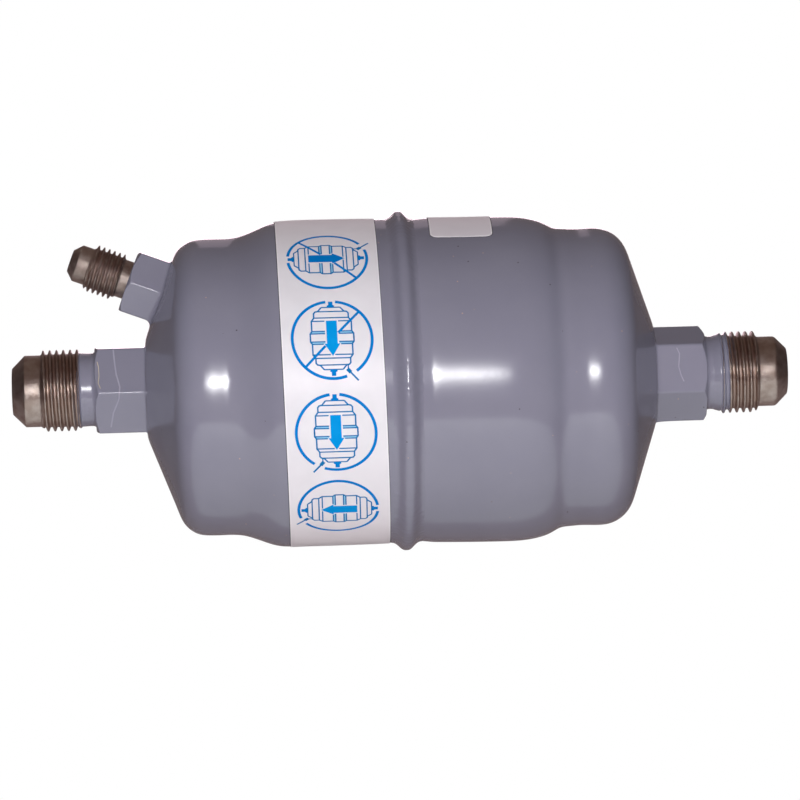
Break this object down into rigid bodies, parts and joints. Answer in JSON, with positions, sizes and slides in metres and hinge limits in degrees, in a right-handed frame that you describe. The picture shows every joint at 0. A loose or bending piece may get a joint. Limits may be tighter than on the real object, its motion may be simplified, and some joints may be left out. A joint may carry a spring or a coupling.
{
  "type": "oil separator",
  "caption": "In-line welded steel oil separator with stepped round body, hexagon flare connections at both ends and a small angled oil return connection.",
  "frame": {"origin": "on the vessel's axis, in the plane of the girth seam, which is the centre of the whole part's box", "axes": "+X along the vessel's axis towards the inlet, +Z towards the side of the oil return connection, +Y away from the face that carries the label's upright print"},
  "size_m": [0.1822, 0.0796, 0.0796],
  "materials": {
    "grey_enamel": "gloss grey enamel, sprayed",
    "turned_steel": "turned, lightly oxidised",
    "pressed_steel": "pressed sheet, bare",
    "knitted_wire": "knitted wire",
    "jet_brass": "turned",
    "label_film": "white film with blue print",
    "sticker_film": "white film"
  },
  "bodies": {
    "root": {"inlet_shell": "grey_enamel", "outlet_shell": "grey_enamel", "girth_weld": "grey_enamel", "backing_ring": "pressed_steel", "inlet_fitting": "turned_steel", "outlet_fitting": "turned_steel", "oil_return_fitting": "turned_steel", "inlet_diffuser": "pressed_steel", "inlet_plate": "pressed_steel", "outlet_plate": "pressed_steel", "mesh_pad_1": "knitted_wire", "mesh_pad_2": "knitted_wire", "mesh_pad_3": "knitted_wire", "mesh_pad_4": "knitted_wire", "spacer_ring_1": "pressed_steel", "spacer_ring_2": "pressed_steel", "spacer_ring_3": "pressed_steel", "outlet_standpipe": "pressed_steel", "standpipe_cap": "pressed_steel", "strainer_cage": "pressed_steel", "strainer_gauze": "knitted_wire", "return_jet": "jet_brass", "mounting_label": "label_film", "data_sticker": "sticker_film"}
  },
  "joints": []
}
